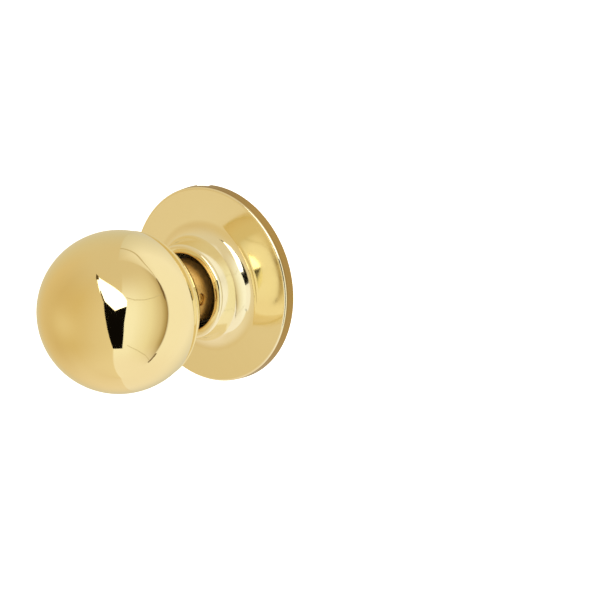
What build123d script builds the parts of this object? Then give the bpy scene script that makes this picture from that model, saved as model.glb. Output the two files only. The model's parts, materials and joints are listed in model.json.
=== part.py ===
from build123d import *
from math import acos, asin, cos, degrees, radians, sin, sqrt
import os

# Sprung passage door knob, one side of the door: ball knob, rose and chassis.
# Millimetres. +Z is up and the knob axis is Y. The door's face is the plane Y = 0: the knob stands
# ahead of it at negative Y, and the spindle and the fixing posts run into the door at positive Y.
# Angles about the knob axis start at +X and turn towards +Z.

# Ball knob
BALL_RADIUS = 25.7
BALL_CENTRE_Y = -46.4
SHELL_THICKNESS = 0.9
SEAM_BEHIND_CENTRE = 9.6
SEAM_BEAD_RADIUS = 0.6
SEAM_BEAD_PROUD = 0.25
BACK_SHELL_SET_IN = 0.45
SHELL_GAP_DEG = 0.1
NECK_OVERRUN_DEG = 5.0
BAND_THICKNESS = 0.8
BAND_REACH_DEG = 9.0
BAND_CLEARANCE = 0.05

# Knob shank and the sleeve that it slides over
SHANK_RADIUS = 10.75
SHANK_BORE_RADIUS = 9.35
SHANK_END_Y = -10.3
SHANK_FLANGE_RADIUS = 13.75
SHANK_FLANGE_THICKNESS = 1.2
SLEEVE_RADIUS = 9.3
SLEEVE_BORE_RADIUS = 7.0
SLEEVE_FRONT_Y = -24.0
SLEEVE_BACK_Y = 2.8

# Knob catch, a spring plunger that points along +X
CATCH_Y = -19.5
CATCH_HOLE_RADIUS = 2.05
CATCH_STEM_RADIUS = 1.9
CATCH_TIP_X = 10.3
CATCH_TIP_CHAMFER = 0.5
CATCH_SHOULDER_X = 5.9
CATCH_FLANGE_RADIUS = 2.9
CATCH_FLANGE_THICKNESS = 2.0
CARRIER_LENGTH = 8.0
CARRIER_RADIUS = 6.95
CARRIER_BORE_RADIUS = 3.05
CARRIER_FLOOR_X = -3.2
CATCH_COIL_RADIUS = 2.2
CATCH_WIRE_RADIUS = 0.25
CATCH_COIL_TURNS = 6
CATCH_COIL_GAP = 0.1

# Rose: corners of its outer face, from the edge on the door to the inside of the collar's lip
ROSE_RADIUS = 33.0
ROSE_THICKNESS = 0.8
ROSE_SHOULDER = (32.7, -3.5)
ROSE_COLLAR_FOOT = (17.2, -4.9)
ROSE_COLLAR_TOP = (15.5, -15.8)
ROSE_MOUTH_RADIUS = 12.7
ROSE_MOUTH_Y = -15.9
ROSE_LIP_END_Y = -13.5
ROSE_BENDS = [1.1, 6.5, 1.5, 1.0]
NOTCH_WIDTH = 6.0
NOTCH_HEIGHT = 1.4
NOTCH_REACH = 1.6
NOTCH_DEG = 97.0

# Mounting plate and the parts fixed to it
PLATE_RADIUS = 30.9
PLATE_THICKNESS = 1.6
PLATE_RIM_THICKNESS = 0.8
PLATE_RIM_FRONT_Y = -2.4
CLIP_RADIUS = 31.9
CLIP_FRONT_Y = -2.2
CLIP_BACK_Y = -0.4
CLIP_HALF_WIDTH_DEG = 5.0
CLIP_ANGLES = (30.0, 150.0, 270.0)
HUB_RADIUS = 11.2
HUB_BORE_RADIUS = 10.3
HUB_FRONT_Y = -8.4
HUB_BACK_Y = 0.0
HUB_FLANGE_RADIUS = 13.2
HUB_FLANGE_THICKNESS = 1.0
BUSH_BORE_RADIUS = 9.35
BUSH_FLANGE_THICKNESS = 0.6
BUSH_BACK_Y = -0.1

# Fixing posts, pressed through the plate from the front
POST_SPACING = 38.0
POST_RADIUS = 3.2
POST_LENGTH = 12.5
POST_PRESS_RADIUS = 3.5
POST_HEAD_RADIUS = 3.75
POST_HEAD_THICKNESS = 0.8
THREAD_CORE_RADIUS = 2.1
THREAD_DEPTH = 5.5

# Spring cassette
CUP_RADIUS = 15.1
CUP_BORE_RADIUS = 14.4
CUP_FRONT_Y = -9.2
CUP_FOOT_RADIUS = 19.5
CUP_FOOT_THICKNESS = 0.7
CUP_FOOT_HALF_WIDTH_DEG = 14.0
CUP_FOOT_ANGLES = (90.0, 210.0, 330.0)
RIVET_CIRCLE_RADIUS = 17.2
RIVET_RADIUS = 1.0
RIVET_HEAD_RADIUS = 1.8
RIVET_HEAD_THICKNESS = 0.6
ANCHOR_DEG = 90.0
ANCHOR_FRONT_Y = -8.2
ANCHOR_INNER_RADIUS = 13.6
ANCHOR_HALF_WIDTH_DEG = 9.0
SPRING_RADIUS = 12.0
SPRING_WIRE_RADIUS = 0.55
SPRING_BACK_Y = -3.25
SPRING_PITCH = 1.4
SPRING_TURNS = 3
SPRING_LEG_DEG = 12.0
SPRING_LEG_END_RADIUS = 14.2

# Drive cam and its stops
TURN_LIMIT_DEG = 60.0
CAM_RADIUS = 11.4
CAM_FRONT_Y = -10.2
CAM_BACK_Y = -9.2
CAM_ARM_INNER_RADIUS = 10.4
LUG_INNER_RADIUS = 12.8
LUG_OUTER_RADIUS = 13.35
LUG_HALF_WIDTH_DEG = 8.5
LUG_BACK_Y = -2.9
EAR_DEG = 270.0
EAR_RADIUS = 14.1
EAR_HALF_WIDTH_DEG = 10.0
STOP_HALF_WIDTH_DEG = 4.0
STOP_GAP_DEG = 1.0
STOP_INNER_RADIUS = 13.5
STOP_FRONT_Y = -10.4

# Spindle
SPINDLE_SIDE = 7.94
SPINDLE_CLEARANCE = 0.03
SPINDLE_FRONT_Y = -6.5
SPINDLE_BACK_Y = 31.5
SPINDLE_TIP_CHAMFER = 1.2
INSERT_RADIUS = 6.95
INSERT_FRONT_Y = -7.0
INSERT_BACK_Y = 2.6
PIN_RADIUS = 1.2
PIN_HALF_LENGTH = 6.8
PIN_Y = -2.0

# Retaining ring and thrust washer behind the bush
GROOVE_RADIUS = 8.5
GROOVE_FRONT_Y = 0.8
GROOVE_BACK_Y = 1.8
RING_CLEARANCE = 0.05
RING_RADIUS = 10.1
RING_HALF_WIDTH_DEG = 158.0
WASHER_RADIUS = 10.1
WASHER_BORE_RADIUS = 9.4
WASHER_FRONT_Y = 0.05
WASHER_BACK_Y = 0.55


def ahead_of(y):
    """Plane across the knob axis at y, seen from the front: local X, Y and Z are +X, +Z and -Y."""
    return Plane(origin=(0, y, 0), x_dir=(1, 0, 0), z_dir=(0, -1, 0))


def tube(outer, inner, front, back):
    """Ring about the knob axis between the planes Y = front and Y = back."""
    return extrude(ahead_of(back) * (Circle(outer) - Circle(inner)), back - front)


def rod(radius, front, back, x=0, z=0):
    """Round bar along Y at (x, z)."""
    return extrude(ahead_of(back) * Pos(x, z) * Circle(radius), back - front)


def cross_rod(radius, start, stop, y):
    """Round bar along X, through the knob axis at y."""
    return extrude(Plane(origin=(start, y, 0), z_dir=(1, 0, 0)) * Circle(radius), stop - start)


def closed_face(first, second):
    """Face between two curves that run side by side."""
    ends = [Line(first @ 1, second @ 1), Line(first @ 0, second @ 0)]
    return make_face([*first.edges(), *second.edges(), *ends])


def sector(outer, inner, front, back, middle, half_width):
    """Part of a ring about the knob axis, half_width degrees to each side of middle."""
    outer_arc = CenterArc((0, 0), outer, middle - half_width, 2 * half_width)
    inner_arc = CenterArc((0, 0), inner, middle - half_width, 2 * half_width)
    return extrude(ahead_of(back) * closed_face(outer_arc, inner_arc), back - front)


def spherical_zone(outer, inner, start, stop):
    """Zone of the ball's shell. Its edges are start and stop degrees behind the ball's widest circle."""
    centre = (0, BALL_CENTRE_Y)
    outer_arc = CenterArc(centre, outer, start, stop - start)
    inner_arc = CenterArc(centre, inner, start, stop - start)
    return closed_face(outer_arc, inner_arc)


def inner_corners(corners, thickness):
    """Corners of a line drawn beside the given one, on its right-hand side."""
    points = [Vector(*corner) for corner in corners]
    normals = []
    for here, there in zip(points, points[1:]):
        run = (there - here).normalized()
        normals.append(Vector(run.Y, -run.X))
    moved = [points[0] + normals[0] * thickness]
    for point, before, after in zip(points[1:], normals, normals[1:]):
        moved.append(point + (before + after) * (thickness / (1 + before.dot(after))))
    moved.append(points[-1] + normals[-1] * thickness)
    return moved


def angle_at(radius, distance):
    """Degrees at the ball's centre that a distance along the knob axis takes at this radius."""
    return degrees(asin(distance / radius))


def make_rose():
    corners = [
        (ROSE_RADIUS, 0),
        ROSE_SHOULDER,
        ROSE_COLLAR_FOOT,
        ROSE_COLLAR_TOP,
        (ROSE_MOUTH_RADIUS, ROSE_MOUTH_Y),
        (ROSE_MOUTH_RADIUS, ROSE_LIP_END_Y),
    ]
    shoulder, foot, top, lip = ROSE_BENDS
    inner_bends = [
        shoulder - ROSE_THICKNESS,
        foot + ROSE_THICKNESS,
        top - ROSE_THICKNESS,
        lip - ROSE_THICKNESS,
    ]
    outside = FilletPolyline(*corners, radius=ROSE_BENDS)
    inside = FilletPolyline(*inner_corners(corners, ROSE_THICKNESS), radius=inner_bends)
    rose = revolve(closed_face(outside, inside), Axis.Y)
    notch = Pos(ROSE_RADIUS, 0, 0) * Box(2 * NOTCH_REACH, 2 * NOTCH_HEIGHT, NOTCH_WIDTH)
    return rose - Rot(0, -NOTCH_DEG, 0) * notch


def make_plate():
    disc = rod(PLATE_RADIUS, -PLATE_THICKNESS, 0)
    rim = tube(PLATE_RADIUS, PLATE_RADIUS - PLATE_RIM_THICKNESS, PLATE_RIM_FRONT_Y, -PLATE_THICKNESS)
    plate = disc + rim - rod(HUB_RADIUS, -PLATE_THICKNESS, 0)
    for x in (-POST_SPACING / 2, POST_SPACING / 2):
        plate -= rod(POST_PRESS_RADIUS, -PLATE_THICKNESS, 0, x)
    for x, z in rivet_places():
        plate -= rod(RIVET_RADIUS, -PLATE_THICKNESS, 0, x, z)
    return plate


def make_clips():
    return [
        sector(CLIP_RADIUS, PLATE_RADIUS, CLIP_FRONT_Y, CLIP_BACK_Y, angle, CLIP_HALF_WIDTH_DEG)
        for angle in CLIP_ANGLES
    ]


def make_hub():
    flange_front = -PLATE_THICKNESS - HUB_FLANGE_THICKNESS
    barrel = tube(HUB_RADIUS, HUB_BORE_RADIUS, HUB_FRONT_Y, HUB_BACK_Y)
    return barrel + tube(HUB_FLANGE_RADIUS, HUB_BORE_RADIUS, flange_front, -PLATE_THICKNESS)


def make_bush():
    flange = tube(HUB_RADIUS, BUSH_BORE_RADIUS, HUB_FRONT_Y - BUSH_FLANGE_THICKNESS, HUB_FRONT_Y)
    return flange + tube(HUB_BORE_RADIUS, BUSH_BORE_RADIUS, HUB_FRONT_Y, BUSH_BACK_Y)


def make_posts():
    posts = []
    for x in (-POST_SPACING / 2, POST_SPACING / 2):
        head_front = -PLATE_THICKNESS - POST_HEAD_THICKNESS
        post = rod(POST_RADIUS, 0, POST_LENGTH, x)
        post += rod(POST_PRESS_RADIUS, -PLATE_THICKNESS, 0, x)
        post += rod(POST_HEAD_RADIUS, head_front, -PLATE_THICKNESS, x)
        post -= rod(THREAD_CORE_RADIUS, POST_LENGTH - THREAD_DEPTH, POST_LENGTH, x)
        posts.append(post)
    return posts


def rivet_places():
    """X and Z of each rivet that holds the spring cup to the plate."""
    return [
        (RIVET_CIRCLE_RADIUS * cos(radians(angle)), RIVET_CIRCLE_RADIUS * sin(radians(angle)))
        for angle in CUP_FOOT_ANGLES
    ]


def make_cup_rivets():
    foot_front = -PLATE_THICKNESS - CUP_FOOT_THICKNESS
    rivets = []
    for x, z in rivet_places():
        stem = rod(RIVET_RADIUS, foot_front, 0, x, z)
        rivets.append(stem + rod(RIVET_HEAD_RADIUS, foot_front - RIVET_HEAD_THICKNESS, foot_front, x, z))
    return rivets


def make_spring_cup():
    foot_front = -PLATE_THICKNESS - CUP_FOOT_THICKNESS
    cup = tube(CUP_RADIUS, CUP_BORE_RADIUS, CUP_FRONT_Y, -PLATE_THICKNESS)
    for angle in CUP_FOOT_ANGLES:
        cup += sector(
            CUP_FOOT_RADIUS, CUP_BORE_RADIUS, foot_front, -PLATE_THICKNESS, angle, CUP_FOOT_HALF_WIDTH_DEG
        )
    for x, z in rivet_places():
        cup -= rod(RIVET_RADIUS, foot_front, -PLATE_THICKNESS, x, z)
    cup += sector(
        CUP_RADIUS, ANCHOR_INNER_RADIUS, ANCHOR_FRONT_Y, -PLATE_THICKNESS, ANCHOR_DEG, ANCHOR_HALF_WIDTH_DEG
    )
    stop_deg = TURN_LIMIT_DEG + EAR_HALF_WIDTH_DEG + STOP_GAP_DEG + STOP_HALF_WIDTH_DEG
    for angle in (EAR_DEG - stop_deg, EAR_DEG + stop_deg):
        cup += sector(
            CUP_RADIUS, STOP_INNER_RADIUS, STOP_FRONT_Y, CUP_FRONT_Y, angle, STOP_HALF_WIDTH_DEG
        )
    return cup


def coil(radius, wire_radius, pitch, turns):
    """Wound wire about local Z, starting on local +X at Z = 0."""
    line = Helix(pitch, pitch * turns, radius)
    return sweep(Plane(line @ 0, z_dir=line % 0) * Circle(wire_radius), line)


def spring_leg(wire_radius, height):
    """Straight end of the return spring's wire, outwards along local +X."""
    start = Plane(origin=(SPRING_RADIUS, 0, height), z_dir=(1, 0, 0))
    return extrude(start * Circle(wire_radius), SPRING_LEG_END_RADIUS - SPRING_RADIUS)


def make_return_spring():
    gap_turns = 2 * SPRING_LEG_DEG / 360
    turns = SPRING_TURNS - gap_turns
    height = SPRING_PITCH * turns
    spring = coil(SPRING_RADIUS, SPRING_WIRE_RADIUS, SPRING_PITCH, turns)
    spring += spring_leg(SPRING_WIRE_RADIUS, 0)
    spring += Rot(0, 0, 360 * turns) * spring_leg(SPRING_WIRE_RADIUS, height)
    for angle, level in ((0, 0), (360 * turns, height)):
        spring += Rot(0, 0, angle) * Pos(SPRING_RADIUS, 0, level) * Sphere(SPRING_WIRE_RADIUS)
    return ahead_of(SPRING_BACK_Y) * Rot(0, 0, ANCHOR_DEG + SPRING_LEG_DEG) * spring


def make_thrust_washer():
    return tube(WASHER_RADIUS, WASHER_BORE_RADIUS, WASHER_FRONT_Y, WASHER_BACK_Y)


def seam_angle():
    return angle_at(BALL_RADIUS, SEAM_BEHIND_CENTRE)


def bead_half_angle():
    return angle_at(BALL_RADIUS, SEAM_BEAD_RADIUS)


def make_front_shell():
    """Ball from its front to the seam, where the sheet's edge is rolled into a bead."""
    shell = spherical_zone(BALL_RADIUS, BALL_RADIUS - SHELL_THICKNESS, -90, seam_angle())
    bead_distance = BALL_RADIUS + SEAM_BEAD_PROUD - SEAM_BEAD_RADIUS
    bead_x = bead_distance * cos(radians(seam_angle()))
    bead_y = BALL_CENTRE_Y + bead_distance * sin(radians(seam_angle()))
    bead = Pos(bead_x, bead_y) * Circle(SEAM_BEAD_RADIUS)
    return revolve(shell + bead, Axis.Y)


def make_back_shell():
    """Ball from the seam to the neck that the shank comes out of."""
    outer = BALL_RADIUS - BACK_SHELL_SET_IN
    neck_angle = degrees(acos(SHANK_RADIUS / (outer - SHELL_THICKNESS)))
    start = seam_angle() + bead_half_angle() + SHELL_GAP_DEG
    stop = neck_angle + NECK_OVERRUN_DEG
    shell = revolve(spherical_zone(outer, outer - SHELL_THICKNESS, start, stop), Axis.Y)
    return shell - rod(SHANK_RADIUS, BALL_CENTRE_Y, 0)


def band_radius():
    """Outside of the band that joins the two shells, just clear of the back shell."""
    return BALL_RADIUS - BACK_SHELL_SET_IN - SHELL_THICKNESS - BAND_CLEARANCE


def make_band():
    start = seam_angle() - BAND_REACH_DEG
    stop = seam_angle() + BAND_REACH_DEG
    return revolve(spherical_zone(band_radius(), band_radius() - BAND_THICKNESS, start, stop), Axis.Y)


def make_shank():
    """Tube from the rose to the ball, with a flange that bears on the inside of the back shell."""
    flange_back = BALL_CENTRE_Y + sqrt(band_radius() ** 2 - SHANK_FLANGE_RADIUS**2)
    flange_front = flange_back - SHANK_FLANGE_THICKNESS
    shank = tube(SHANK_RADIUS, SHANK_BORE_RADIUS, flange_front, SHANK_END_Y)
    shank += tube(SHANK_FLANGE_RADIUS, SHANK_BORE_RADIUS, flange_front, flange_back)
    return shank - cross_rod(CATCH_HOLE_RADIUS, 0, SHANK_RADIUS, CATCH_Y)


def make_sleeve():
    sleeve = tube(SLEEVE_RADIUS, SLEEVE_BORE_RADIUS, SLEEVE_FRONT_Y, SLEEVE_BACK_Y)
    sleeve -= tube(SLEEVE_RADIUS, GROOVE_RADIUS, GROOVE_FRONT_Y, GROOVE_BACK_Y)
    sleeve -= cross_rod(CATCH_HOLE_RADIUS, 0, SLEEVE_RADIUS, CATCH_Y)
    return sleeve - cross_rod(PIN_RADIUS, -SLEEVE_BORE_RADIUS, SLEEVE_BORE_RADIUS, PIN_Y)


def make_retaining_ring():
    return sector(
        RING_RADIUS,
        GROOVE_RADIUS + RING_CLEARANCE,
        GROOVE_FRONT_Y + RING_CLEARANCE,
        GROOVE_BACK_Y - RING_CLEARANCE,
        ANCHOR_DEG,
        RING_HALF_WIDTH_DEG,
    )


def make_drive_cam():
    """Plate on the sleeve: its lug turns the spring's legs, and its ear meets the cup's stops."""
    cam = tube(CAM_RADIUS, SLEEVE_RADIUS, CAM_FRONT_Y, CAM_BACK_Y)
    cam += sector(
        LUG_OUTER_RADIUS, CAM_ARM_INNER_RADIUS, CAM_FRONT_Y, CAM_BACK_Y, ANCHOR_DEG, LUG_HALF_WIDTH_DEG
    )
    cam += sector(
        LUG_OUTER_RADIUS, LUG_INNER_RADIUS, CAM_BACK_Y, LUG_BACK_Y, ANCHOR_DEG, LUG_HALF_WIDTH_DEG
    )
    return cam + sector(
        EAR_RADIUS, CAM_ARM_INNER_RADIUS, CAM_FRONT_Y, CAM_BACK_Y, EAR_DEG, EAR_HALF_WIDTH_DEG
    )


def square_bar(side, front, back):
    return extrude(ahead_of(back) * Rectangle(side, side), back - front)


def make_insert():
    insert = rod(INSERT_RADIUS, INSERT_FRONT_Y, INSERT_BACK_Y)
    insert -= square_bar(SPINDLE_SIDE + 2 * SPINDLE_CLEARANCE, INSERT_FRONT_Y, INSERT_BACK_Y)
    return insert - cross_rod(PIN_RADIUS, -INSERT_RADIUS, INSERT_RADIUS, PIN_Y)


def make_spindle():
    bar = square_bar(SPINDLE_SIDE, SPINDLE_FRONT_Y, SPINDLE_BACK_Y)
    tip_edges = bar.faces().sort_by(Axis.Y)[-1].edges()
    bar = chamfer(tip_edges, SPINDLE_TIP_CHAMFER)
    return bar - cross_rod(PIN_RADIUS, -SPINDLE_SIDE, SPINDLE_SIDE, PIN_Y)


def make_spindle_pin():
    return cross_rod(PIN_RADIUS, -PIN_HALF_LENGTH, PIN_HALF_LENGTH, PIN_Y)


def make_carrier():
    half = CARRIER_LENGTH / 2
    carrier = rod(CARRIER_RADIUS, CATCH_Y - half, CATCH_Y + half)
    return carrier - cross_rod(CARRIER_BORE_RADIUS, CARRIER_FLOOR_X, SLEEVE_BORE_RADIUS, CATCH_Y)


def make_catch():
    flange_start = CATCH_SHOULDER_X - CATCH_FLANGE_THICKNESS
    stem = cross_rod(CATCH_STEM_RADIUS, CATCH_SHOULDER_X, CATCH_TIP_X, CATCH_Y)
    stem = chamfer(stem.faces().sort_by(Axis.X)[-1].edges(), CATCH_TIP_CHAMFER)
    return stem + cross_rod(CATCH_FLANGE_RADIUS, flange_start, CATCH_SHOULDER_X, CATCH_Y)


def make_catch_spring():
    room = CATCH_SHOULDER_X - CATCH_FLANGE_THICKNESS - CARRIER_FLOOR_X
    length = room - 2 * (CATCH_WIRE_RADIUS + CATCH_COIL_GAP)
    spring = coil(CATCH_COIL_RADIUS, CATCH_WIRE_RADIUS, length / CATCH_COIL_TURNS, CATCH_COIL_TURNS)
    start_x = CARRIER_FLOOR_X + CATCH_WIRE_RADIUS + CATCH_COIL_GAP
    return Plane(origin=(start_x, CATCH_Y, 0), z_dir=(1, 0, 0)) * spring


PARTS = {
    "rose": make_rose,
    "mounting_plate": make_plate,
    "rose_clips": make_clips,
    "hub_tube": make_hub,
    "hub_bush": make_bush,
    "fixing_posts": make_posts,
    "spring_cup": make_spring_cup,
    "cup_rivets": make_cup_rivets,
    "return_spring": make_return_spring,
    "thrust_washer": make_thrust_washer,
    "knob_front_shell": make_front_shell,
    "knob_back_shell": make_back_shell,
    "shell_band": make_band,
    "knob_shank": make_shank,
    "spindle_sleeve": make_sleeve,
    "retaining_ring": make_retaining_ring,
    "drive_cam": make_drive_cam,
    "spindle_insert": make_insert,
    "spindle_bar": make_spindle,
    "spindle_pin": make_spindle_pin,
    "catch_carrier": make_carrier,
    "knob_catch": make_catch,
    "catch_spring": make_catch_spring,
}

os.makedirs("parts", exist_ok=True)
for name, make in PARTS.items():
    made = make()
    shape = Compound(made) if isinstance(made, list) else made
    export_step(shape, f"parts/{name}.step")
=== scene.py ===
import json
from math import asin, atan2, cos, degrees, pi, radians, sin, sqrt, tan

import bmesh
import bpy
from mathutils import Matrix, Vector


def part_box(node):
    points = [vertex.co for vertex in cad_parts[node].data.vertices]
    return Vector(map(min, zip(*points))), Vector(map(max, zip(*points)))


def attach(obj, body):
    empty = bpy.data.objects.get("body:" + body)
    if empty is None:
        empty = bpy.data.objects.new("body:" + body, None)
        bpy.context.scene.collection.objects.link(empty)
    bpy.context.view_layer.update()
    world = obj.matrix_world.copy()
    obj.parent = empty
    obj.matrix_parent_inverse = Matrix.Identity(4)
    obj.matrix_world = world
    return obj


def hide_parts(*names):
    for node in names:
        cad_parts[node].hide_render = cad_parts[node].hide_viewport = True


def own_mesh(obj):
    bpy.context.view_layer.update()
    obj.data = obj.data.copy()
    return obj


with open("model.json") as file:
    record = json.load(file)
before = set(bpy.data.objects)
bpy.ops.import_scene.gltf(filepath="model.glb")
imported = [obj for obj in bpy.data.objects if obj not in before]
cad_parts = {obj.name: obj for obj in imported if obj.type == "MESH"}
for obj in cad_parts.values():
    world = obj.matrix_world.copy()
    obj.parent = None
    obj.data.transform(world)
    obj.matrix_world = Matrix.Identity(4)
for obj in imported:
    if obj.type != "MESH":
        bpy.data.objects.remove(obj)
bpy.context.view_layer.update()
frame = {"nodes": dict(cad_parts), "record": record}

# Looks of a polished brass ball knob on its rose, with the steelwork behind it.
# Metres. +Z is up, the knob axis is Y, and the knob stands on the -Y side of the door's face, Y = 0.
# Directions in the studio are (azimuth, elevation) in degrees: azimuth 0 is +Y and 90 is +X.

MM = 0.001


# ---------------------------------------------------------------- sizes read from the frame

def half_width(node):
    """Smaller half-width of a turned node across the knob axis."""
    low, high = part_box(node)
    return min(high.x, -low.x, high.z, -low.z)


def y_span(node):
    low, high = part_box(node)
    return low.y, high.y


BALL_RADIUS = half_width("knob_front_shell")
BALL_FRONT_Y = y_span("knob_front_shell")[0]
BALL_CENTRE_Y = BALL_FRONT_Y + BALL_RADIUS
ROSE_RADIUS = half_width("rose")
ROSE_FRONT_Y = y_span("rose")[0]
SHANK_FRONT_Y, SHANK_BACK_Y = y_span("knob_shank")
CATCH_LOW, CATCH_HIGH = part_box("knob_catch")
CATCH_Y = (CATCH_LOW.y + CATCH_HIGH.y) / 2

# Ball shells
SHELL_THICKNESS = 0.9 * MM
SEAM_BEHIND_CENTRE = 9.6 * MM
BEAD_RADIUS = 0.6 * MM
BEAD_PROUD = 0.25 * MM
BEAD_OVERLAP = 0.8
BEAD_ARC = (-62, 200)
BACK_SHELL_SET_IN = 0.45 * MM
BACK_SHELL_GAP_DEG = 0.1
NECK_OVERRUN_DEG = 0.4
OUTSIDE_STEPS = 150
BEAD_STEPS = 28
INSIDE_STEPS = 60
SHANK_RADIUS = 10.75 * MM
SHANK_BORE_RADIUS = 9.35 * MM
SHANK_FLANGE_WIDTH = 2.9 * MM
SHANK_FLANGE_THICKNESS = 1.2 * MM

# Catch: plunger, its hole and its coil
CATCH_HOLE_RADIUS = 2.05 * MM
CATCH_STEM_RADIUS = 1.9 * MM
CATCH_FLANGE_RADIUS = 2.9 * MM
CATCH_SHOULDER_X = 5.9 * MM
CATCH_DOME_HEIGHT = 0.35 * MM
CATCH_WIRE_RADIUS = 0.25 * MM
CATCH_COIL_TURNS = 6
COIL_TURN_STEPS = 32
COIL_RING_STEPS = 10

# Posts and bar
POST_RADIUS = 3.2 * MM
POST_PRESS_RADIUS = 3.5 * MM
POST_HEAD_RADIUS = 3.75 * MM
POST_HEAD_THICKNESS = 0.8 * MM
POST_CHAMFER = 0.4 * MM
THREAD_CORE_RADIUS = 2.1 * MM
THREAD_DEPTH = 5.5 * MM
THREAD_PITCH = 0.8 * MM
BAR_BEVEL = 0.45 * MM

# Rose: corners of its outer face and the bends between them
ROSE_THICKNESS = 0.8 * MM
ROSE_MOUTH_RADIUS = 12.7 * MM
ROSE_SHOULDER = (ROSE_RADIUS - 0.3 * MM, -3.5 * MM)
ROSE_COLLAR_FOOT = (17.2 * MM, -4.9 * MM)
ROSE_COLLAR_TOP = (15.5 * MM, ROSE_FRONT_Y + 0.1 * MM)
ROSE_LIP_END_Y = -13.5 * MM
ROSE_BENDS = (1.1 * MM, 6.5 * MM, 1.5 * MM, 1.0 * MM)
NOTCH_DEG = 97.0
NOTCH_SIZE = (3.2 * MM, 2.8 * MM, 6.0 * MM)

SMOOTH_DEG = 28.0
RING_SEGMENTS = 192
BALL_SEGMENTS = 256
BEND_STEPS = 14


# ---------------------------------------------------------------- mesh helpers

def arc(centre, radius, start, stop, steps):
    """Points along an arc, from start to stop degrees."""
    points = []
    for i in range(steps + 1):
        angle = radians(start + (stop - start) * i / steps)
        points.append((centre[0] + radius * cos(angle), centre[1] + radius * sin(angle)))
    return points


def rounded(corners, bends, closed=False):
    """Line through the corners with each bend drawn as an arc. An open line has no bend at its ends."""
    count = len(corners)
    points = []
    if not closed:
        bends = (0, *bends, 0)
    for i, corner in enumerate(corners):
        here = Vector(corner)
        if bends[i] == 0:
            points.append(tuple(here))
            continue
        before = (Vector(corners[i - 1]) - here).normalized()
        after = (Vector(corners[(i + 1) % count]) - here).normalized()
        half = before.angle(after) / 2
        centre = here + (before + after).normalized() * (bends[i] / sin(half))
        start = here + before * (bends[i] / tan(half)) - centre
        stop = here + after * (bends[i] / tan(half)) - centre
        turn = start.angle_signed(stop)
        for step in range(BEND_STEPS + 1):
            points.append(tuple(centre + Matrix.Rotation(-turn * step / BEND_STEPS, 2) @ start))
    return points


def beside(corners, distance):
    """Corners of a line drawn beside the given one, on its right-hand side."""
    points = [Vector(corner) for corner in corners]
    normals = []
    for here, there in zip(points, points[1:]):
        run = (there - here).normalized()
        normals.append(Vector((run.y, -run.x)))
    moved = [points[0] + normals[0] * distance]
    for point, before, after in zip(points[1:], normals, normals[1:]):
        moved.append(point + (before + after) * (distance / (1 + before.dot(after))))
    moved.append(points[-1] + normals[-1] * distance)
    return [tuple(point) for point in moved]


def object_from(name, mesh_data):
    mesh = bpy.data.meshes.new(name)
    bmesh.ops.remove_doubles(mesh_data, verts=mesh_data.verts, dist=1e-7)
    bmesh.ops.recalc_face_normals(mesh_data, faces=mesh_data.faces)
    mesh_data.to_mesh(mesh)
    mesh_data.free()
    piece = bpy.data.objects.new(name, mesh)
    bpy.context.scene.collection.objects.link(piece)
    return piece


def smooth(piece, limit=SMOOTH_DEG):
    """Smooth shading with edges sharper than the limit kept crisp."""
    piece.data.shade_smooth()
    piece.data.set_sharp_from_angle(angle=radians(limit))
    return piece


def lathe(name, profile, closed=True, segments=RING_SEGMENTS):
    """Profile of (radius, y) points turned about the Y axis."""
    work = bmesh.new()
    rings = []
    for radius, y in profile:
        if radius < 1e-7:
            rings.append([work.verts.new((0, y, 0))] * segments)
            continue
        ring = []
        for i in range(segments):
            angle = 2 * pi * i / segments
            ring.append(work.verts.new((radius * cos(angle), y, radius * sin(angle))))
        rings.append(ring)
    pairs = list(zip(rings, rings[1:]))
    if closed:
        pairs.append((rings[-1], rings[0]))
    for ring, following in pairs:
        for i in range(segments):
            j = (i + 1) % segments
            corners = []
            for vert in (ring[i], ring[j], following[j], following[i]):
                if vert not in corners:
                    corners.append(vert)
            if len(corners) > 2:
                work.faces.new(corners)
    return smooth(object_from(name, work))


def box_mesh(name, size, place):
    work = bmesh.new()
    bmesh.ops.create_cube(work, size=1, matrix=place @ Matrix.Diagonal((*size, 1)))
    return object_from(name, work)


def baked(piece):
    """Applies the piece's modifiers to its mesh."""
    evaluated = piece.evaluated_get(bpy.context.evaluated_depsgraph_get())
    mesh = bpy.data.meshes.new_from_object(evaluated)
    piece.modifiers.clear()
    piece.data = mesh
    return piece


def cut(piece, cutter):
    """Takes the cutter out of the piece and throws the cutter away."""
    modifier = piece.modifiers.new("cut", "BOOLEAN")
    modifier.operation = "DIFFERENCE"
    modifier.solver = "EXACT"
    modifier.object = cutter
    bpy.context.view_layer.update()
    baked(piece)
    bpy.data.objects.remove(cutter)
    return smooth(piece)


# ---------------------------------------------------------------- materials

# Places of a Mix node's two inputs and its output, by data type
MIX_SOCKETS = {"RGBA": (6, 7, 2), "FLOAT": (2, 3, 0)}


def new_material(name):
    material = bpy.data.materials.new(name)
    material.use_nodes = True
    tree = material.node_tree
    shader = tree.nodes["Principled BSDF"]
    return material, tree, shader


def add(tree, kind, **values):
    """A node, with its properties and its inputs' values set by name."""
    node = tree.nodes.new(kind)
    for key, value in values.items():
        label = key.replace("_", " ")
        if hasattr(node, key):
            setattr(node, key, value)
        else:
            node.inputs[label].default_value = value
    return node


def link(tree, source, output, target, socket):
    tree.links.new(source.outputs[output], target.inputs[socket])


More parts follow.
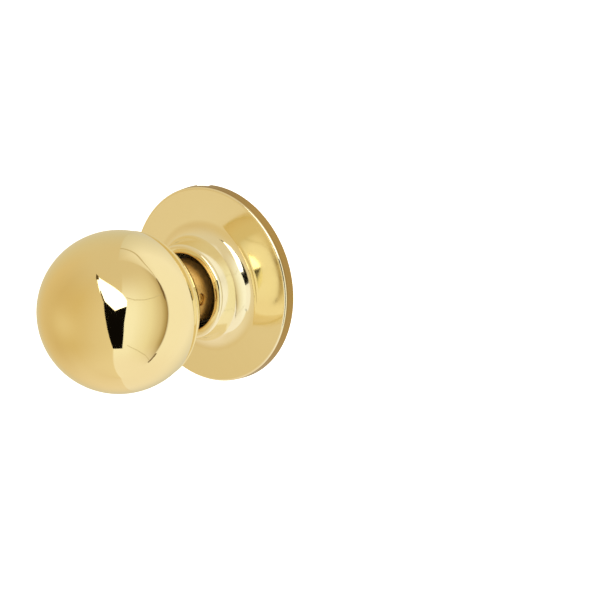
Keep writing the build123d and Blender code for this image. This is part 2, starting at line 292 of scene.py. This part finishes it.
def noise(tree, scale, detail=4.0, stretch=(1, 1, 1)):
    """Noise over the object's own coordinates, in cycles per metre."""
    place = add(tree, "ShaderNodeTexCoord")
    mapping = add(tree, "ShaderNodeMapping")
    mapping.inputs["Scale"].default_value = stretch
    link(tree, place, "Object", mapping, "Vector")
    grain = add(tree, "ShaderNodeTexNoise", Scale=scale, Detail=detail)
    link(tree, mapping, "Vector", grain, "Vector")
    return grain


def ramp_to(tree, source, low, high, start=0.3, stop=0.7):
    """Map Range from the source's middle band to low..high."""
    spread = add(tree, "ShaderNodeMapRange")
    spread.inputs["From Min"].default_value = start
    spread.inputs["From Max"].default_value = stop
    spread.inputs["To Min"].default_value = low
    spread.inputs["To Max"].default_value = high
    tree.links.new(source, spread.inputs["Value"])
    return spread.outputs["Result"]


def mixed_colour(tree, factor, first, second):
    mix = add(tree, "ShaderNodeMix", data_type="RGBA")
    first_socket, second_socket, result = MIX_SOCKETS["RGBA"]
    mix.inputs[first_socket].default_value = (*first, 1)
    mix.inputs[second_socket].default_value = (*second, 1)
    tree.links.new(factor, mix.inputs[0])
    return mix.outputs[result]


def bumps(tree, shader, layers):
    """Stacks bump layers of (height output, distance in metres) on the shader's normal."""
    normal = None
    for height, distance in layers:
        bump = add(tree, "ShaderNodeBump", Distance=distance, Strength=1.0)
        tree.links.new(height, bump.inputs["Height"])
        if normal is not None:
            tree.links.new(normal, bump.inputs["Normal"])
        normal = bump.outputs["Normal"]
    tree.links.new(normal, shader.inputs["Normal"])


def metal(name, colour, shade, roughness, layers, blotch_scale=60.0):
    """Metal whose colour drifts between two shades, with smudged roughness and bump layers.
    A bump layer is (noise scale, stretch, distance)."""
    material, tree, shader = new_material(name)
    shader.inputs["Metallic"].default_value = 1.0
    blotches = noise(tree, blotch_scale, 3.0).outputs["Fac"]
    tint = mixed_colour(tree, ramp_to(tree, blotches, 0.0, 1.0), colour, shade)
    tree.links.new(tint, shader.inputs["Base Color"])
    smudges = noise(tree, blotch_scale * 4, 6.0).outputs["Fac"]
    tree.links.new(ramp_to(tree, smudges, *roughness), shader.inputs["Roughness"])
    heights = []
    for scale, stretch, distance in layers:
        heights.append((noise(tree, scale, 3.0, stretch).outputs["Fac"], distance))
    bumps(tree, shader, heights)
    return material


RIM_EDGE_Y = -3.1 * MM
RIM_FADE = 0.2 * MM
RIM_DEPTH = 0.5 * MM
# Painted dark reflection: this brown stands in for the dark surroundings that the rim's side reflects.
RIM_PAINTED_REFLECTION_COLOUR = (0.42, 0.27, 0.085)
RIM_ROUGHNESS = 0.22


def rough_rim_with_painted_dark_reflection(material):
    """The rose's outer edge isn't polished: rougher brass where the radius is largest, and painted
    darker there, a painted reflection of the dark surroundings its side faces.
    """
    tree = material.node_tree
    shader = tree.nodes["Principled BSDF"]
    place = add(tree, "ShaderNodeTexCoord")
    split = add(tree, "ShaderNodeSeparateXYZ")
    link(tree, place, "Object", split, "Vector")
    flat = add(tree, "ShaderNodeCombineXYZ")
    link(tree, split, "X", flat, "X")
    link(tree, split, "Z", flat, "Y")
    radius = add(tree, "ShaderNodeVectorMath", operation="LENGTH")
    link(tree, flat, "Vector", radius, "Vector")
    rim_start = ROSE_RADIUS - RIM_DEPTH
    outside = ramp_to(tree, radius.outputs["Value"], 0.0, 1.0, rim_start, rim_start + RIM_FADE)
    behind = ramp_to(tree, split.outputs["Y"], 0.0, 1.0, RIM_EDGE_Y - RIM_FADE, RIM_EDGE_Y + RIM_FADE)
    both = add(tree, "ShaderNodeMath", operation="MULTIPLY")
    tree.links.new(outside, both.inputs[0])
    tree.links.new(behind, both.inputs[1])
    # The rim's colour is a painted dark reflection; its roughness is the rim's own finish.
    changes = (("Base Color", "RGBA", (*RIM_PAINTED_REFLECTION_COLOUR, 1)), ("Roughness", "FLOAT", RIM_ROUGHNESS))
    for name, data_type, value in changes:
        source = shader.inputs[name].links[0].from_socket
        mix = add(tree, "ShaderNodeMix", data_type=data_type)
        first, second, result = MIX_SOCKETS[data_type]
        tree.links.new(both.outputs[0], mix.inputs[0])
        tree.links.new(source, mix.inputs[first])
        mix.inputs[second].default_value = value
        tree.links.new(mix.outputs[result], shader.inputs[name])
    return material


BRASS_BUMPS = [(18.0, (1, 1, 1), 0.00002), (900.0, (1, 1, 1), 0.0000006)]


def polished_brass():
    return metal(
        "polished_brass",
        (0.935, 0.825, 0.505), (0.92, 0.805, 0.48), (0.03, 0.06),
        BRASS_BUMPS,
    )


def rose_brass_painted_pale():
    """Pressed brass, a little softer in its polish than the spun ball, and painted a little paler: the
    pale tint is painted light, standing in for brighter reflections on the rose's face.
    """
    return rough_rim_with_painted_dark_reflection(metal(
        "rose_brass_painted_pale",
        # Painted light: paler than the ball's brass so that the rose's face reads brighter.
        (0.97, 0.92, 0.71), (0.96, 0.905, 0.68), (0.07, 0.12),
        BRASS_BUMPS,
    ))


def shank_brass():
    return metal(
        "shank_brass",
        (0.86, 0.62, 0.27), (0.78, 0.53, 0.20), (0.38, 0.48),
        [(350.0, (1, 6, 1), 0.000004)],
        blotch_scale=150.0,
    )


def catch_brass():
    return metal(
        "catch_brass",
        (0.80, 0.62, 0.32), (0.70, 0.50, 0.22), (0.12, 0.25),
        [(900.0, (1, 1, 1), 0.00001)],
        blotch_scale=300.0,
    )


def plated_steel():
    return metal(
        "plated_steel",
        (0.72, 0.70, 0.63), (0.60, 0.60, 0.58), (0.22, 0.42),
        [(160.0, (1, 1, 1), 0.00003), (1400.0, (1, 1, 1), 0.000008)],
        blotch_scale=90.0,
    )


def spring_steel():
    return metal(
        "spring_steel",
        (0.42, 0.42, 0.44), (0.30, 0.30, 0.33), (0.25, 0.40),
        [(1500.0, (1, 1, 1), 0.00001)],
        blotch_scale=200.0,
    )


def black_steel():
    return metal(
        "black_steel",
        (0.06, 0.06, 0.065), (0.035, 0.035, 0.04), (0.35, 0.55),
        [(1200.0, (1, 1, 1), 0.00001)],
        blotch_scale=150.0,
    )


def sintered_bronze():
    return metal(
        "sintered_bronze",
        (0.42, 0.27, 0.13), (0.30, 0.19, 0.09), (0.35, 0.55),
        [(2200.0, (1, 1, 1), 0.00003)],
        blotch_scale=250.0,
    )


def cast_zinc():
    return metal(
        "cast_zinc",
        (0.52, 0.52, 0.53), (0.42, 0.42, 0.43), (0.38, 0.55),
        [(1100.0, (1, 1, 1), 0.00003)],
        blotch_scale=180.0,
    )


def acetal():
    material, tree, shader = new_material("acetal")
    blotches = noise(tree, 200.0).outputs["Fac"]
    tint = mixed_colour(tree, ramp_to(tree, blotches, 0.0, 1.0), (0.80, 0.78, 0.71), (0.74, 0.72, 0.65))
    tree.links.new(tint, shader.inputs["Base Color"])
    tree.links.new(ramp_to(tree, blotches, 0.35, 0.5), shader.inputs["Roughness"])
    bumps(tree, shader, [(noise(tree, 1500.0).outputs["Fac"], 0.00001)])
    return material


MATERIALS = {
    make.__name__: make()
    for make in (
        polished_brass, shank_brass, catch_brass, plated_steel, spring_steel,
        black_steel, sintered_bronze, cast_zinc, acetal,
    )
}


def paint(piece, slot_name):
    piece.data.materials.clear()
    piece.data.materials.append(MATERIALS[slot_name])


# The rose's brass, painted paler than the ball's as painted light.
ROSE_BRASS_PAINTED_PALE = rose_brass_painted_pale()


def dress(piece, node, slot_name):
    """Makes the piece stand for a CAD node: it rides on that node's body and takes its finish."""
    for body, members in frame["record"]["behaviour"]["bodies"].items():
        if node in members:
            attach(piece, body)
    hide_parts(node)
    paint(piece, slot_name)
    return piece


# ---------------------------------------------------------------- knob

def seam_deg():
    return degrees(asin(SEAM_BEHIND_CENTRE / BALL_RADIUS))


def neck_deg(radius):
    """Angle at which an arc of this radius meets the shank, less a small overrun."""
    return degrees(atan2(sqrt(radius ** 2 - SHANK_RADIUS ** 2), SHANK_RADIUS)) - NECK_OVERRUN_DEG


def ball_front():
    """Ball from its front to the seam, where the sheet's edge is rolled into a bead."""
    centre = (0, BALL_CENTRE_Y)
    bead_distance = BALL_RADIUS + BEAD_PROUD - BEAD_RADIUS
    seam = seam_deg()
    bead_deg = degrees(asin(BEAD_RADIUS / BALL_RADIUS))
    bead_centre = (
        bead_distance * cos(radians(seam)),
        BALL_CENTRE_Y + bead_distance * sin(radians(seam)),
    )
    outside = arc(centre, BALL_RADIUS, -90, seam - BEAD_OVERLAP * bead_deg, OUTSIDE_STEPS)
    bead = arc(bead_centre, BEAD_RADIUS, seam + BEAD_ARC[0], seam + BEAD_ARC[1], BEAD_STEPS)
    inside = arc(centre, BALL_RADIUS - SHELL_THICKNESS, seam - bead_deg, -90, INSIDE_STEPS)
    profile = outside + bead + inside
    profile[0] = (0, profile[0][1])
    profile[-1] = (0, profile[-1][1])
    return lathe("ball_front", profile, closed=False, segments=BALL_SEGMENTS)


def ball_back():
    """Ball from the seam to the neck round the shank, with its edge turned in at the neck."""
    centre = (0, BALL_CENTRE_Y)
    outer = BALL_RADIUS - BACK_SHELL_SET_IN
    inner = outer - SHELL_THICKNESS
    start = seam_deg() + degrees(asin(BEAD_RADIUS / BALL_RADIUS)) + BACK_SHELL_GAP_DEG
    outside = arc(centre, outer, start, neck_deg(outer), INSIDE_STEPS)
    inside = arc(centre, inner, neck_deg(inner), start, INSIDE_STEPS // 2)
    return lathe("ball_back", outside + inside, segments=BALL_SEGMENTS)


def shank_tube():
    """Tube with a flange at its front and a hole for the catch."""
    flange_radius = SHANK_RADIUS + SHANK_FLANGE_WIDTH
    flange_back = SHANK_FRONT_Y + SHANK_FLANGE_THICKNESS
    corners = [
        (SHANK_BORE_RADIUS, SHANK_BACK_Y),
        (SHANK_BORE_RADIUS, SHANK_FRONT_Y),
        (flange_radius, SHANK_FRONT_Y),
        (flange_radius, flange_back),
        (SHANK_RADIUS, flange_back),
        (SHANK_RADIUS, SHANK_BACK_Y),
    ]
    profile = rounded(corners, (0.2 * MM, 0, 0, 0, 0, 0.3 * MM), closed=True)
    piece = lathe("shank_tube", profile)
    reach = 2 * SHANK_RADIUS
    hole_outline = [(0, 0), (CATCH_HOLE_RADIUS, 0), (CATCH_HOLE_RADIUS, reach), (0, reach)]
    return cut(piece, lathe_about_x("hole", hole_outline))


def lathe_about_x(name, profile, segments=64):
    """Profile of (radius, x) points turned about the catch's axis, which runs along +X at CATCH_Y."""
    piece = lathe(name, profile, closed=False, segments=segments)
    piece.data.transform(Matrix.Translation((0, CATCH_Y, 0)) @ Matrix.Rotation(radians(-90), 4, "Z"))
    return piece


def catch_plunger():
    """Flanged pin with a low dome at its tip."""
    corners = [
        (0, CATCH_LOW.x),
        (CATCH_FLANGE_RADIUS, CATCH_LOW.x),
        (CATCH_FLANGE_RADIUS, CATCH_SHOULDER_X),
        (CATCH_STEM_RADIUS, CATCH_SHOULDER_X),
        (CATCH_STEM_RADIUS, CATCH_HIGH.x - CATCH_DOME_HEIGHT),
        (0, CATCH_HIGH.x),
    ]
    return lathe_about_x("catch_plunger", rounded(corners, (0.2 * MM, 0.2 * MM, 0, 0.5 * MM)))


def catch_coil():
    """Round wire wound about the catch's axis, between the guide's floor and the plunger."""
    low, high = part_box("catch_spring")
    wire = CATCH_WIRE_RADIUS
    steps = CATCH_COIL_TURNS * COIL_TURN_STEPS
    radius = (high.z - low.z) / 2 - wire
    length = high.x - low.x - 2 * wire
    slope = atan2(length / CATCH_COIL_TURNS, 2 * pi * radius)
    work = bmesh.new()
    rings = []
    for i in range(steps + 1):
        turn = 2 * pi * i / COIL_TURN_STEPS
        outward = Vector((0, cos(turn), sin(turn)))
        forward = Vector((sin(slope), -sin(turn) * cos(slope), cos(turn) * cos(slope)))
        side = forward.cross(outward)
        centre = Vector((low.x + wire + length * i / steps, CATCH_Y, 0)) + outward * radius
        ring = []
        for j in range(COIL_RING_STEPS):
            angle = 2 * pi * j / COIL_RING_STEPS
            ring.append(work.verts.new(centre + wire * (cos(angle) * outward + sin(angle) * side)))
        rings.append(ring)
    for near, far in zip(rings, rings[1:]):
        for j in range(COIL_RING_STEPS):
            k = (j + 1) % COIL_RING_STEPS
            work.faces.new((near[j], near[k], far[k], far[j]))
    work.faces.new(rings[0])
    work.faces.new(rings[-1])
    return smooth(object_from("catch_coil", work))


def press_with_catch(piece):
    """Gives the coil a mesh of its own."""
    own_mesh(piece)


def spindle_rod():
    """Square bar with rounded edges."""
    low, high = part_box("spindle_bar")
    size = high - low
    piece = box_mesh("spindle_rod", tuple(size), Matrix.Translation((low + high) / 2))
    bevel = piece.modifiers.new("edges", "BEVEL")
    bevel.width = BAR_BEVEL
    bevel.segments = 4
    bpy.context.view_layer.update()
    return smooth(baked(piece), 40)


# ---------------------------------------------------------------- chassis

def rose_cover():
    """Drawn cover with a rolled rim, a raised collar round its mouth and a pry notch."""
    corners = [
        (ROSE_RADIUS, 0),
        ROSE_SHOULDER,
        ROSE_COLLAR_FOOT,
        ROSE_COLLAR_TOP,
        (ROSE_MOUTH_RADIUS, ROSE_FRONT_Y),
        (ROSE_MOUTH_RADIUS, ROSE_LIP_END_Y),
    ]
    shoulder, foot, top, lip = ROSE_BENDS
    inner_bends = (
        shoulder - ROSE_THICKNESS,
        foot + ROSE_THICKNESS,
        top - ROSE_THICKNESS,
        lip - ROSE_THICKNESS,
    )
    outside = rounded(corners, ROSE_BENDS)
    inside = rounded(beside(corners, ROSE_THICKNESS), inner_bends)
    piece = lathe("rose_cover", outside + inside[::-1], segments=BALL_SEGMENTS)
    angle = radians(NOTCH_DEG)
    place = Matrix.Rotation(-angle, 4, "Y") @ Matrix.Translation((ROSE_RADIUS, 0, 0))
    return cut(piece, box_mesh("notch", NOTCH_SIZE, place))


def post_pair():
    """Two posts with chamfered ends and grooved bores, joined as one piece."""
    low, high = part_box("fixing_posts")
    head_back = low.y + POST_HEAD_THICKNESS
    profile = [
        (0, low.y),
        (POST_HEAD_RADIUS - POST_CHAMFER, low.y),
        (POST_HEAD_RADIUS, low.y + POST_CHAMFER),
        (POST_HEAD_RADIUS, head_back),
        (POST_PRESS_RADIUS, head_back),
        (POST_PRESS_RADIUS, 0),
        (POST_RADIUS, 0),
        (POST_RADIUS, high.y - POST_CHAMFER),
        (POST_RADIUS - POST_CHAMFER, high.y),
        (THREAD_CORE_RADIUS + POST_CHAMFER, high.y),
    ]
    groove = THREAD_CORE_RADIUS + 0.35 * THREAD_PITCH
    for i in range(int(THREAD_DEPTH / THREAD_PITCH)):
        top = high.y - POST_CHAMFER - i * THREAD_PITCH
        profile += [
            (THREAD_CORE_RADIUS, top - 0.1 * THREAD_PITCH),
            (THREAD_CORE_RADIUS, top - 0.35 * THREAD_PITCH),
            (groove, top - 0.75 * THREAD_PITCH),
        ]
    profile += [(THREAD_CORE_RADIUS, high.y - THREAD_DEPTH), (0, high.y - THREAD_DEPTH)]
    spacing = (high.x - low.x) / 2 - POST_HEAD_RADIUS
    work = bmesh.new()
    for x in (-spacing, spacing):
        post = lathe("post", profile, closed=False, segments=72)
        post.data.transform(Matrix.Translation((x, 0, 0)))
        work.from_mesh(post.data)
        bpy.data.objects.remove(post)
    return smooth(object_from("post_pair", work), 35)


REPLACED = [
    (ball_front, "knob_front_shell", "polished_brass"),
    (ball_back, "knob_back_shell", "polished_brass"),
    (shank_tube, "knob_shank", "shank_brass"),
    (catch_plunger, "knob_catch", "catch_brass"),
    (catch_coil, "catch_spring", "spring_steel"),
    (spindle_rod, "spindle_bar", "plated_steel"),
    (rose_cover, "rose", "polished_brass"),
    (post_pair, "fixing_posts", "plated_steel"),
]
for make, node, slot_name in REPLACED:
    piece = dress(make(), node, slot_name)
    if node == "rose":
        piece.data.materials[0] = ROSE_BRASS_PAINTED_PALE
    if node == "catch_spring":
        press_with_catch(piece)

SLOT_OF = {entry["node"]: entry["material_slot"] for entry in frame["record"]["subparts"]}
for node, piece in frame["nodes"].items():
    if not piece.hide_render:
        paint(piece, SLOT_OF[node])


# ---------------------------------------------------------------- studio

FLOOR_Z = -0.28
FLOOR_SIZE = 12.0
STUDIO_RADIUS = 0.9
CAMERA_AZIMUTH = 142.83


def direction(azimuth, elevation):
    flat = cos(radians(elevation))
    return Vector((sin(radians(azimuth)) * flat, cos(radians(azimuth)) * flat, sin(radians(elevation))))


def glow(name, colour, strength):
    material = bpy.data.materials.new(name)
    material.use_nodes = True
    tree = material.node_tree
    tree.nodes.clear()
    emission = add(tree, "ShaderNodeEmission", Strength=strength)
    emission.inputs["Color"].default_value = (*colour, 1)
    output = add(tree, "ShaderNodeOutputMaterial")
    link(tree, emission, "Emission", output, "Surface")
    return material


def staged_card(piece, material):
    """The brass reflects the card. The camera and dull surfaces don't see it."""
    piece.data.materials.append(material)
    piece.visible_camera = False
    piece.visible_diffuse = False


def card(name, outline, material, distance=STUDIO_RADIUS):
    """Card facing the ball. Its corners are (degrees right of the camera, elevation)."""
    work = bmesh.new()
    centre = Vector((0, BALL_CENTRE_Y, 0))
    corners = [centre + direction(CAMERA_AZIMUTH - right, up) * distance for right, up in outline]
    work.faces.new([work.verts.new(corner) for corner in corners])
    bmesh.ops.triangulate(work, faces=work.faces)
    staged_card(object_from(name, work), material)


# Softbox, the dark gap round the camera and thin lines on the tent's walls. They follow the reflections
# that the brass ball shows, so they suit one viewpoint.
SOFTBOX = [
    (-52, 59), (-38, 57), (-20, 54), (0, 47), (12, 39),
    (18, 30), (17, 22), (0, 17), (-18, 30), (-28, 41),
]
CAMERA_GAP = [(-18, 30), (0, 16), (17, 23), (12, 0), (9, -36), (-5, -36), (-12, 0)]
GAP_EDGE = [(-28, 42), (-26, 42), (-15, 28), (-18, 28)]
GAP_TIP = [(-56, 60), (-46, 59), (-38, 55), (-46, 54)]
BLACK = glow("gap_black", (0.004, 0.003, 0.002), 1.0)
DIM = glow("gap_brown", (0.12, 0.08, 0.035), 1.0)
FAINT_LINE = (0.66, 0.57, 0.38)
DARK_LINE = (0.20, 0.13, 0.06)
UPPER_LINE = [
    (18, 34), (30, 29.6), (45, 27), (60, 26), (74, 26),
    (74, 25.2), (60, 25.2), (45, 26), (30, 28.6), (18, 33),
]
LOWER_LINE = [
    (16, -31), (32, -38.6), (50, -46.6), (66, -54),
    (66, -55), (50, -47.6), (32, -39.6), (16, -32),
]
UPPER_SEAM = [(77.5, 16), (80.5, 24), (86, 43), (84.5, 43), (78, 30), (76.5, 20)]
LOWER_SEAM = [(66.5, -44), (70, -44), (67, -57), (63.5, -57)]
WALL_LINES = [
    (FAINT_LINE, UPPER_LINE),
    (FAINT_LINE, LOWER_LINE),
    (DARK_LINE, UPPER_SEAM),
    (DARK_LINE, LOWER_SEAM),
]
for number, (colour, outline) in enumerate(WALL_LINES):
    card(f"wall_line_{number}", outline, glow("line_brown", colour, 1.0), 0.99 * STUDIO_RADIUS)
card("softbox", SOFTBOX, glow("softbox_light", (1.0, 0.98, 0.94), 2.5))
card("camera_gap", CAMERA_GAP, BLACK, 1.02 * STUDIO_RADIUS)
card("gap_edge", GAP_EDGE, DIM, 0.98 * STUDIO_RADIUS)
card("gap_tip", GAP_TIP, DIM, 0.98 * STUDIO_RADIUS)


FLANK_CARD_CENTRE = Vector((0.0385, -0.0350, -0.0130))
FLANK_CARD_HALF_SIZE = (0.007, 0.016)
FLANK_CARD_COLOUR = (0.99, 0.93, 0.78)


def flank_card():
    """Small pale card beside the neck. It keeps the camera's gap out of the collar's lower flank."""
    towards = direction(CAMERA_AZIMUTH, 0)
    across = Vector((-towards.y, towards.x, 0))
    half_across, half_height = FLANK_CARD_HALF_SIZE
    work = bmesh.new()
    corners = []
    for right, up in ((-1, -1), (1, -1), (1, 1), (-1, 1)):
        offset = across * (right * half_across) + Vector((0, 0, up * half_height))
        corners.append(work.verts.new(FLANK_CARD_CENTRE + offset))
    work.faces.new(corners)
    staged_card(object_from("flank_card", work), glow("flank_card_pale", FLANK_CARD_COLOUR, 1.0))


flank_card()


def floor():
    """Plain white floor, bright enough to read as white."""
    work = bmesh.new()
    bmesh.ops.create_grid(work, x_segments=1, y_segments=1, size=FLOOR_SIZE / 2)
    piece = object_from("floor", work)
    piece.location.z = FLOOR_Z
    material, tree, shader = new_material("floor_white")
    shader.inputs["Base Color"].default_value = (0.92, 0.92, 0.92, 1)
    shader.inputs["Roughness"].default_value = 0.9
    shader.inputs["Emission Color"].default_value = (1, 1, 1, 1)
    shader.inputs["Emission Strength"].default_value = 1.0
    piece.data.materials.append(material)
    piece.visible_glossy = False


floor()

# The tent's walls and floor, as colours around the knob: (degrees right of the camera, colour).
# The tones follow the reflections that the brass ball shows.
WALLS = [
    (-180, (0.69, 0.63, 0.47)),
    (-150, (0.73, 0.63, 0.42)),
    (-125, (0.75, 0.59, 0.33)),
    (-95, (0.69, 0.52, 0.26)),
    (-60, (0.72, 0.55, 0.27)),
    (-25, (0.79, 0.65, 0.40)),
    (1.5, (0.83, 0.70, 0.45)),
    (4, (1.04, 1.01, 0.86)),
    (25, (1.01, 0.97, 0.81)),
    (50, (0.89, 0.81, 0.57)),
    (66, (0.71, 0.59, 0.36)),
    (72, (0.52, 0.40, 0.20)),
    (75.5, (0.40, 0.28, 0.12)),
    (76.8, (0.22, 0.14, 0.05)),
    (77.6, (0.99, 0.93, 0.78)),
    (125, (0.99, 0.93, 0.80)),
    (180, (0.69, 0.63, 0.47)),
]
GROUND = [
    (-180, (0.89, 0.76, 0.56)),
    (-60, (0.83, 0.69, 0.46)),
    (1.5, (0.86, 0.73, 0.49)),
    (4, (0.97, 0.89, 0.74)),
    (180, (0.95, 0.86, 0.71)),
]
# Slightly paler part of the left wall, which the rose's face looks at: (degrees right, elevation)
LIFT_CENTRE = (-76.0, -10.0)
LIFT_SPREAD = (26.0, 16.0)
LIFT_COLOUR = (0.80, 0.65, 0.38)
ROOF_COLOUR = (0.74, 0.62, 0.41)
CREASE_COLOUR = (0.56, 0.44, 0.25)
CREASE_LOW = (85.0, 40.0)
CREASE_TOP = 66.0
CREASE_SPREAD = 12.0
CREASE_HALF_WIDTH = 1.6
CREASE_CORE = 0.2
FAR_ROOF_FADE = (-14.0, 30.0)
NEAR_ROOF_FADE = (18.0, 72.0)
GROUND_FADE = (28.0, 66.0)
WALL_LEAN = 0.2
SEAM_RIGHT = 77.0
SEAM_SOFTNESS = 0.4


def tent():
    """World light: a tent with tinted walls and a seam right of the camera, which itself sees white."""
    world = bpy.data.worlds.new("tent")
    bpy.context.scene.world = world
    world.use_nodes = True
    tree = world.node_tree
    tree.nodes.clear()
    place = add(tree, "ShaderNodeTexCoord")
    turned = add(tree, "ShaderNodeVectorRotate", rotation_type="Z_AXIS", Angle=radians(CAMERA_AZIMUTH))
    link(tree, place, "Generated", turned, "Vector")
    split = add(tree, "ShaderNodeSeparateXYZ")
    link(tree, turned, "Vector", split, "Vector")

    def math(operation, first, second=None):
        node = add(tree, "ShaderNodeMath", operation=operation)
        for socket, value in zip(node.inputs, (first, second)):
            if isinstance(value, (int, float)):
                socket.default_value = value
            elif value is not None:
                tree.links.new(value, socket)
        return node.outputs[0]

    def rise(value, start, stop):
        node = add(tree, "ShaderNodeMapRange", interpolation_type="SMOOTHSTEP")
        node.inputs["From Min"].default_value = start
        node.inputs["From Max"].default_value = stop
        tree.links.new(value, node.inputs["Value"])
        return node.outputs["Result"]

    def ramp(around, stops):
        node = add(tree, "ShaderNodeValToRGB")
        tree.links.new(around, node.inputs["Fac"])
        elements = node.color_ramp.elements
        while len(elements) < len(stops):
            elements.new(0.5)
        for element, (right, colour) in zip(elements, stops):
            element.position = (right + 180) / 360
            element.color = (*colour, 1)
        return node.outputs["Color"]

    def mixed(factor, first, second):
        mix = add(tree, "ShaderNodeMix", data_type="RGBA")
        first_socket, second_socket, result = MIX_SOCKETS["RGBA"]
        tree.links.new(factor, mix.inputs[0])
        for socket, value in ((mix.inputs[first_socket], first), (mix.inputs[second_socket], second)):
            if isinstance(value, tuple):
                socket.default_value = (*value, 1)
            else:
                tree.links.new(value, socket)
        return mix.outputs[result]

    leftward = math("MULTIPLY", split.outputs["X"], -1.0)
    right = math("DEGREES", math("ARCTAN2", leftward, split.outputs["Y"]))
    up = math("DEGREES", math("ARCSINE", split.outputs["Z"]))
    leaning = math("SUBTRACT", right, math("MULTIPLY", up, WALL_LEAN))
    around = math("DIVIDE", math("ADD", leaning, 180.0), 360.0)
    past_seam = rise(leaning, SEAM_RIGHT - SEAM_SOFTNESS, SEAM_RIGHT + SEAM_SOFTNESS)
    beside = math("POWER", math("DIVIDE", math("SUBTRACT", right, LIFT_CENTRE[0]), LIFT_SPREAD[0]), 2.0)
    above = math("POWER", math("DIVIDE", math("SUBTRACT", up, LIFT_CENTRE[1]), LIFT_SPREAD[1]), 2.0)
    lift = math("EXPONENT", math("MULTIPLY", math("ADD", beside, above), -1.0))
    sides = mixed(lift, ramp(around, WALLS), LIFT_COLOUR)
    # Right of the seam the roof meets the wall in a crease that falls towards the seam.
    fall = math("EXPONENT", math("DIVIDE", math("SUBTRACT", CREASE_LOW[0], right), CREASE_SPREAD))
    crease = math("SUBTRACT", CREASE_TOP, math("MULTIPLY", fall, CREASE_TOP - CREASE_LOW[1]))
    over_crease = math("SUBTRACT", up, crease)
    soft_roof = math("MULTIPLY", rise(up, *NEAR_ROOF_FADE), math("SUBTRACT", 1.0, past_seam))
    far_roof = math("MULTIPLY", rise(over_crease, *FAR_ROOF_FADE), past_seam)
    walls = mixed(math("MAXIMUM", soft_roof, far_roof), sides, ROOF_COLOUR)
    into_crease = rise(over_crease, -CREASE_HALF_WIDTH, 0.0)
    out_of_crease = math("SUBTRACT", 1.0, rise(over_crease, CREASE_CORE, CREASE_HALF_WIDTH))
    in_crease = math("MULTIPLY", into_crease, out_of_crease)
    walls = mixed(math("MULTIPLY", in_crease, past_seam), walls, CREASE_COLOUR)
    whole = mixed(rise(math("MULTIPLY", up, -1.0), *GROUND_FADE), walls, ramp(around, GROUND))

    light = add(tree, "ShaderNodeBackground", Strength=1.0)
    tree.links.new(whole, light.inputs["Color"])
    plain = add(tree, "ShaderNodeBackground", Strength=1.0)
    plain.inputs["Color"].default_value = (1, 1, 1, 1)
    path = add(tree, "ShaderNodeLightPath")
    choose = add(tree, "ShaderNodeMixShader")
    link(tree, path, "Is Camera Ray", choose, "Fac")
    tree.links.new(light.outputs[0], choose.inputs[1])
    tree.links.new(plain.outputs[0], choose.inputs[2])
    output = add(tree, "ShaderNodeOutputWorld")
    link(tree, choose, "Shader", output, "Surface")


tent()
bpy.context.scene.view_settings.view_transform = "Standard"


# ---------------------------------------------------------------- camera

CAMERA_AIM = Vector((0.0235, 0.0160, -0.0055))
CAMERA_DISTANCE = 0.6
CAMERA_ELEVATION = 14.74
CAMERA_LENS = 108.4


def camera():
    data = bpy.data.cameras.new("camera")
    data.lens = CAMERA_LENS
    data.sensor_width = 36.0
    data.clip_start = 0.01
    piece = bpy.data.objects.new("camera", data)
    towards = direction(CAMERA_AZIMUTH, CAMERA_ELEVATION)
    piece.location = CAMERA_AIM + towards * CAMERA_DISTANCE
    piece.rotation_euler = towards.to_track_quat("Z", "Y").to_euler()
    bpy.context.scene.collection.objects.link(piece)
    bpy.context.scene.camera = piece


camera()
